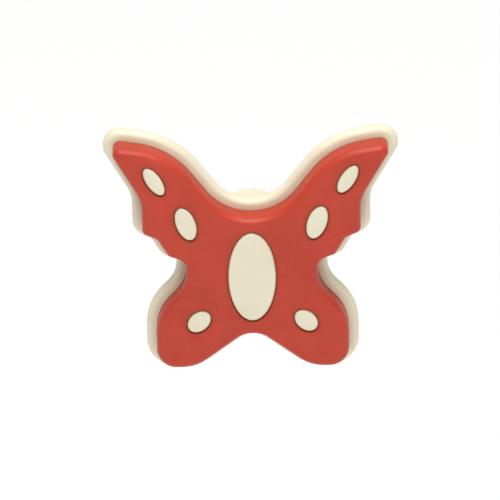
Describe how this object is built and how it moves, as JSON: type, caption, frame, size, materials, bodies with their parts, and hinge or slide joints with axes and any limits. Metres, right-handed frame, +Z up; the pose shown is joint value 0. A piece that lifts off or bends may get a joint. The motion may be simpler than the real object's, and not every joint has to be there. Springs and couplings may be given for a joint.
{
  "type": "furniture knob",
  "caption": "Butterfly-shaped soft knob for a child's drawer or door: a red face with cream oval inlays on a cream base and round stem, fixed from behind by a screw and washer.",
  "frame": {"origin": "centre of the stem's foot, where the knob meets the board", "axes": "+Y out of the foot, into the board; +Z up; +X to the right of someone who looks at the butterfly"},
  "size_m": [0.0552, 0.0341, 0.0488],
  "materials": {
    "red_pvc": "soft matt PVC",
    "cream_pvc": "soft matt PVC",
    "stem_plastic": "satin moulded plastic",
    "insert_brass": "turned brass",
    "plated_steel": "bright zinc plate"
  },
  "bodies": {
    "knob": {"wing_face": "red_pvc", "wing_base": "cream_pvc", "body_spot": "cream_pvc", "left_tip_spot": "cream_pvc", "right_tip_spot": "cream_pvc", "left_wing_spot": "cream_pvc", "right_wing_spot": "cream_pvc", "left_tail_spot": "cream_pvc", "right_tail_spot": "cream_pvc", "stem": "stem_plastic", "threaded_insert": "insert_brass"},
    "washer": {"washer": "plated_steel"},
    "screw": {"fixing_screw": "plated_steel"}
  },
  "joints": [
    {"name": "screw_travel", "type": "slide", "parent": "knob", "child": "washer", "axis": [0, 1, 0], "range_m": [0, 0.019]},
    {"name": "screw_turn", "type": "hinge", "parent": "washer", "child": "screw", "pos_m": [0, 0, 0], "axis": [0, 1, 0], "range_deg": [0, 9772]}
  ],
  "couplings": [
    {"joint": "screw_turn", "follows": "screw_travel", "rad_per_m": 8976}
  ]
}
